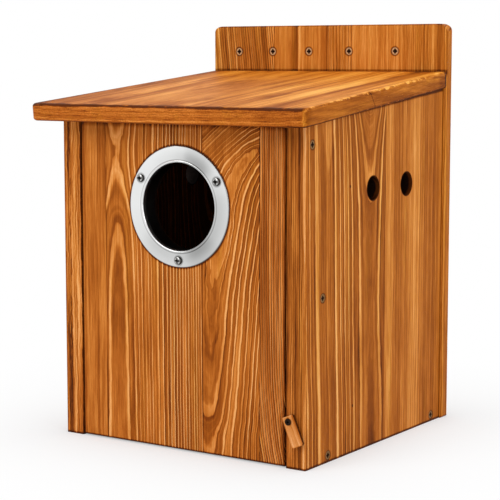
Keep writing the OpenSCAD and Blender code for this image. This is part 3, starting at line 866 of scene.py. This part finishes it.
def ring_shade(g, x, y, z):
    """Painted reflections as broad soft greys round the flange, and painted shade at its outer edge, on the
    inner bead, round the screws and in the tube.
    """
    d = reach(g, x, z, HOLE)
    turn = g.mul(g.math("ARCTAN2", g.sub(z, HOLE[1]), x), 180.0 / math.pi)
    return g.least(0.95, g.total(
        g.mul(g.curve(turn, RING_GREYS), g.step(d, 41.0, 51.0, 1.25, 0.75)),
        g.step(d, 50.0, 50.9, 0.0, 0.5),
        g.halo(d, 39.2, 0.7, 0.3),
        g.step(nearest(g, x, z, RING_SCREWS), 3.7, 5.4, 0.4, 0.0),
        g.step(y, Y_FRONT + 0.4, Y_FRONT + 4.0, 0.0, 0.85),
    ))


def bronze_screw(name, shade, colour=BRONZE, spots=0.7):
    """A bronze coloured screw with matt grime and painted shade."""
    return metal(name, colour, 0.42, spots, specular=0.05, shade=shade, soil_and_shade=SOIL_AND_SHADE)


ring_mat = metal("ring_metal", (0.79, 0.8, 0.795, 1.0), 0.33, shade=ring_shade)
pan_mat = metal("screw_zinc", (0.46, 0.46, 0.45, 1.0), 0.3, spots=0.4, shade=pan_recess)
side_screw_mat = bronze_screw("screw_side", recess(axis(0, -1.0, BODY_X - HEAD_SUNK), 1, SIDE_SCREWS, 0.6))
left_screw_mat = bronze_screw("screw_left", recess(axis(0, 1.0, BODY_X - HEAD_SUNK), 1, SIDE_SCREWS, 0.6))
rear_screw_mat = bronze_screw("screw_rear", buried(axis(1, -1.0, Y_REAR - HEAD_SUNK)))
mount_screw_mat = bronze_screw(
    "screw_mount", recess(axis(1, 1.0, -Y_BOARD - HEAD_SUNK), 0, MOUNT_SPOTS, 0.7), PALE_BRONZE, 0.5)
black_mat = metal("screw_black", (0.02, 0.012, 0.008, 1.0), 0.7, metallic=0.0, specular=0.04, relief=0.00005)

LOOK = {
    "back_panel": back_mat, "left_side_panel": left_mat, "right_side_panel": side_mat,
    "floor_panel": floor_mat, "roof_panel": roof_mat, "step_rail": rail_mat,
    "front_door": door_mat, "entrance_ring": ring_mat, "ring_screws": pan_mat,
    "turn_button": button_mat, "turn_button_screw": black_mat,
    "left_pivot_screw": left_screw_mat, "right_pivot_screw": side_screw_mat,
    "left_rail_screw": left_screw_mat, "right_rail_screw": side_screw_mat,
    "left_floor_screws": left_screw_mat, "right_floor_screws": side_screw_mat,
    "left_back_screws": rear_screw_mat, "right_back_screws": rear_screw_mat,
    "roof_back_screws": rear_screw_mat, "floor_back_screws": rear_screw_mat,
    "mounting_screws": mount_screw_mat,
}
for name, node in NODES.items():
    node.data.materials.clear()
    node.data.materials.append(LOOK[name])


def finished(bm, name, material):
    """The object of a mesh, with its faces turned outward."""
    bmesh.ops.recalc_face_normals(bm, faces=bm.faces)
    mesh = bpy.data.meshes.new(name)
    bm.to_mesh(mesh)
    bm.free()
    mesh.materials.append(material)
    piece = bpy.data.objects.new(name, mesh)
    bpy.context.scene.collection.objects.link(piece)
    return piece


def roof_outline(gap):
    """Points about a gap apart round the right half of the roof, from the rear to the middle of the front.

    Each has its place and the direction to the inside.
    """
    lean = math.atan(FLARE)
    cx = ROOF_FRONT_X - ROOF_CORNER * math.tan(lean) - ROOF_CORNER / math.cos(lean)
    cy = ROOF_CORNER - ROOF_LEN
    turn = (math.cos(lean), math.sin(lean))
    side_end = cy + ROOF_CORNER * turn[1]
    points = []
    count = int(-side_end / gap)
    for i in range(count):
        y = side_end * i / count
        points.append((ROOF_X - FLARE * y, y, -turn[0], -turn[1]))
    for i in range(7):
        a = lean - (math.pi / 2 + lean) * i / 6
        c, d = math.cos(a), math.sin(a)
        points.append((cx + ROOF_CORNER * c, cy + ROOF_CORNER * d, -c, -d))
    count = int(cx / gap)
    for i in range(1, count + 1):
        points.append((cx * (count - i) / count, -ROOF_LEN, 0.0, 1.0))
    return points


def roof_section():
    """The roof's rounded edge from top to underside.

    Each point has its inset, its height, its share of the wear, and whether wear moves it down or up.
    """
    section = [(5.0, ROOF_T, 0.0, 0.0)]
    for k in range(7):
        a = math.radians(90 - 15 * k)
        inset = ROOF_EDGE * (1 - math.cos(a))
        section.append((inset, ROOF_T - ROOF_EDGE * (1 - math.sin(a)), math.sin(2 * a), -1.0))
    section.append((0.0, ROOF_T / 2, 0.0, 0.0))
    for k in range(5):
        a = math.radians(22.5 * k)
        inset = ROOF_EDGE * (1 - math.cos(a))
        section.append((inset, ROOF_EDGE * (1 - math.sin(a)), 0.4 * math.sin(2 * a), 1.0))
    section.append((5.0, 0.0, 0.0, 0.0))
    return section


def worn_roof():
    """The roof board with the chips and dents along its edges that the plain solid leaves out."""
    half = roof_outline(2.2)
    path = half + [(-x, y, -nx, ny) for x, y, nx, ny in reversed(half[:-1])]
    section = roof_section()
    bm = bmesh.new()
    rows = []
    for i, (px, py, nx, ny) in enumerate(path):
        chip = noise.noise(Vector((px * 0.21, py * 0.21, 3.7)))
        chip += 0.6 * noise.noise(Vector((px * 0.55, py * 0.55, 8.1)))
        gain = 1.0 if py > -ROOF_LEN + ROOF_CORNER and px > 0 else 0.55
        depth = 0.18 + gain * 1.9 * max(0.0, chip - 0.05)
        row = []
        for k, (inset, t, share, way) in enumerate(section):
            rough = 1.0 + 0.5 * noise.noise(Vector((px * 0.9, py * 0.9, k * 0.7)))
            cut = 0.7 * min(1.7, depth * share * rough)
            inset += cut
            t += cut * way
            x, y = px + nx * inset, py + ny * inset
            if i in (0, len(path) - 1):
                # The rear face is upright, against the back board
                move = t * SLOPE - y
                x -= math.copysign(FLARE * move, px)
                y = t * SLOPE
            back = Y_BOARD + y * math.cos(TILT) - t * math.sin(TILT)
            up = REAR_H + y * math.sin(TILT) + t * math.cos(TILT)
            row.append(bm.verts.new([c / 1000 for c in (x, back, up)]))
        rows.append(row)
    for a, b in zip(rows, rows[1:]):
        for k in range(len(section) - 1):
            bm.faces.new((a[k], b[k], b[k + 1], a[k + 1])).smooth = True
    bm.faces.new([row[0] for row in rows])
    bm.faces.new([row[-1] for row in reversed(rows)])
    bm.faces.new(rows[0] + rows[-1][::-1])
    piece = finished(bm, "worn_roof", roof_mat)
    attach(piece, "case")
    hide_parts("roof_panel")


worn_roof()

# The mounting screws' thread behind the back board: where it starts, tapers and ends, its pitch and radii
THREAD_START = 123.2
THREAD_TAPER = 135.8
THREAD_END = 140.4
PITCH = 1.8
ROOT_R = 2.0
TIP_R = 0.3
THREAD_RISE = 0.55
TURN_STEPS = 24


def thread(name, x, z):
    """Helical thread on the part of a mounting screw that stands out behind the back board."""
    steps = int((THREAD_END - THREAD_START) / PITCH * TURN_STEPS)
    bm = bmesh.new()
    rows = []
    for i in range(steps + 1):
        y = THREAD_START + PITCH * i / TURN_STEPS
        taper = max(0.0, (y - THREAD_TAPER) / (THREAD_END + 0.4 - THREAD_TAPER))
        root = ROOT_R - (ROOT_R - TIP_R) * taper
        rise = THREAD_RISE * min(1.0, i / TURN_STEPS, (steps - i) / TURN_STEPS + 0.1)
        a = 2 * math.pi * i / TURN_STEPS
        row = []
        for r, dy in ((root - 0.15, -0.5), (root + rise, 0.0), (root - 0.15, 0.5)):
            corner = (x + r * math.cos(a), y + dy, z + r * math.sin(a))
            row.append(bm.verts.new([c / 1000 for c in corner]))
        rows.append(row)
    for a, b in zip(rows, rows[1:]):
        for k in range(3):
            bm.faces.new((a[k], a[(k + 1) % 3], b[(k + 1) % 3], b[k]))
    bm.faces.new(rows[0])
    bm.faces.new(list(reversed(rows[-1])))
    piece = finished(bm, name, mount_screw_mat)
    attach(piece, "case")


for number, at in enumerate(MOUNT_X):
    thread(f"mounting_thread_{number + 1}", at, MOUNT_Z)

# Whiteness of the floor at its distance from the body, as the camera and mirrors see it
FLOOR_WHITE = [(0, 0.42), (10, 0.56), (35, 0.7), (110, 0.87), (260, 1.0)]

# Floor: pale, keeps the shadow, and fades to plain white away from the object
bpy.ops.mesh.primitive_plane_add(size=24, location=(0, 0, 0))
ground = bpy.context.object
ground.name = "ground"
g = Graph("ground_white")
g.shader(Base_Color=(0.9, 0.92, 0.94, 1.0), Roughness=0.9, Specular_IOR_Level=0.0)
glow = g.new("ShaderNodeEmission")
glow.inputs["Strength"].default_value = 1.0
blend = g.new("ShaderNodeMixShader")
x, y, z = g.place()
out_x = g.most(g.sub(g.abs(x), BODY_X), 0.0)
out_y = g.most(g.sub(g.abs(y), Y_REAR), 0.0)
away = g.least(g.length(out_x, out_y), FLOOR_WHITE[-1][0] - 1.0)
path = g.new("ShaderNodeLightPath")
seen = g.most(path.outputs["Is Camera Ray"],
              g.most(path.outputs["Is Glossy Ray"], path.outputs["Is Transmission Ray"]))
g.link(g.mul(g.curve(away, FLOOR_WHITE), seen), blend.inputs[0])
g.link(g.bsdf.outputs[0], blend.inputs[1])
g.link(glow.outputs[0], blend.inputs[2])
g.link(blend.outputs[0], g.out.inputs["Surface"])
ground.data.materials.append(g.mat)

# World: white to the camera and in reflections, softer as light
WHITE = (1.0, 1.0, 1.0, 1.0)
world = bpy.data.worlds.new("studio")
bpy.context.scene.world = world
world.use_nodes = True
sky = world.node_tree
sky.nodes.clear()
sky_out = sky.nodes.new("ShaderNodeOutputWorld")
sky_mix = sky.nodes.new("ShaderNodeMixShader")
sky_path = sky.nodes.new("ShaderNodeLightPath")
sky_seen = sky.nodes.new("ShaderNodeMath")
sky_seen.operation = "MAXIMUM"
sky.links.new(sky_path.outputs["Is Camera Ray"], sky_seen.inputs[0])
sky.links.new(sky_path.outputs["Is Glossy Ray"], sky_seen.inputs[1])
sky.links.new(sky_seen.outputs[0], sky_mix.inputs[0])
for slot, strength in ((1, 0.5), (2, 1.0)):
    light = sky.nodes.new("ShaderNodeBackground")
    light.inputs["Color"].default_value = WHITE
    light.inputs["Strength"].default_value = strength
    sky.links.new(light.outputs[0], sky_mix.inputs[slot])
sky.links.new(sky_mix.outputs[0], sky_out.inputs[0])

MIDDLE = (0.0, 0.0, 0.16)


def lamp(name, at, size, power):
    """Soft square lamp at a point, turned to the middle of the box."""
    data = bpy.data.lights.new(name, "AREA")
    data.shape = "SQUARE"
    data.size = size
    data.energy = power
    o = bpy.data.objects.new(name, data)
    bpy.context.scene.collection.objects.link(o)
    o.location = at
    way = [b - a for a, b in zip(at, MIDDLE)]
    o.rotation_euler = (math.atan2(math.hypot(way[0], way[1]), -way[2]), 0, math.atan2(-way[0], way[1]))


lamp("key", (-0.9, -1.9, 1.5), 1.2, 19.0)
lamp("fill", (2.2, -0.6, 0.9), 1.4, 17.0)
lamp("top", (0.1, 0.1, 2.2), 1.2, 15.0)

# Camera at the photograph's angle: place in metres, lens in millimetres, angles in degrees
CAMERA_AT = (0.78916, -1.19502, 0.33115)
CAMERA_LENS = 115.19
CAMERA_DOWN = 6.839
CAMERA_TURN = 33.808
cam_data = bpy.data.cameras.new("camera")
cam_data.sensor_fit = "HORIZONTAL"
cam_data.sensor_width = 36.0
cam_data.lens = CAMERA_LENS
cam = bpy.data.objects.new("camera", cam_data)
bpy.context.scene.collection.objects.link(cam)
cam.location = CAMERA_AT
cam.rotation_euler = (math.radians(90 - CAMERA_DOWN), 0, math.radians(CAMERA_TURN))
bpy.context.scene.camera = cam

bpy.context.scene.view_settings.view_transform = "Standard"

bpy.context.view_layer.update()
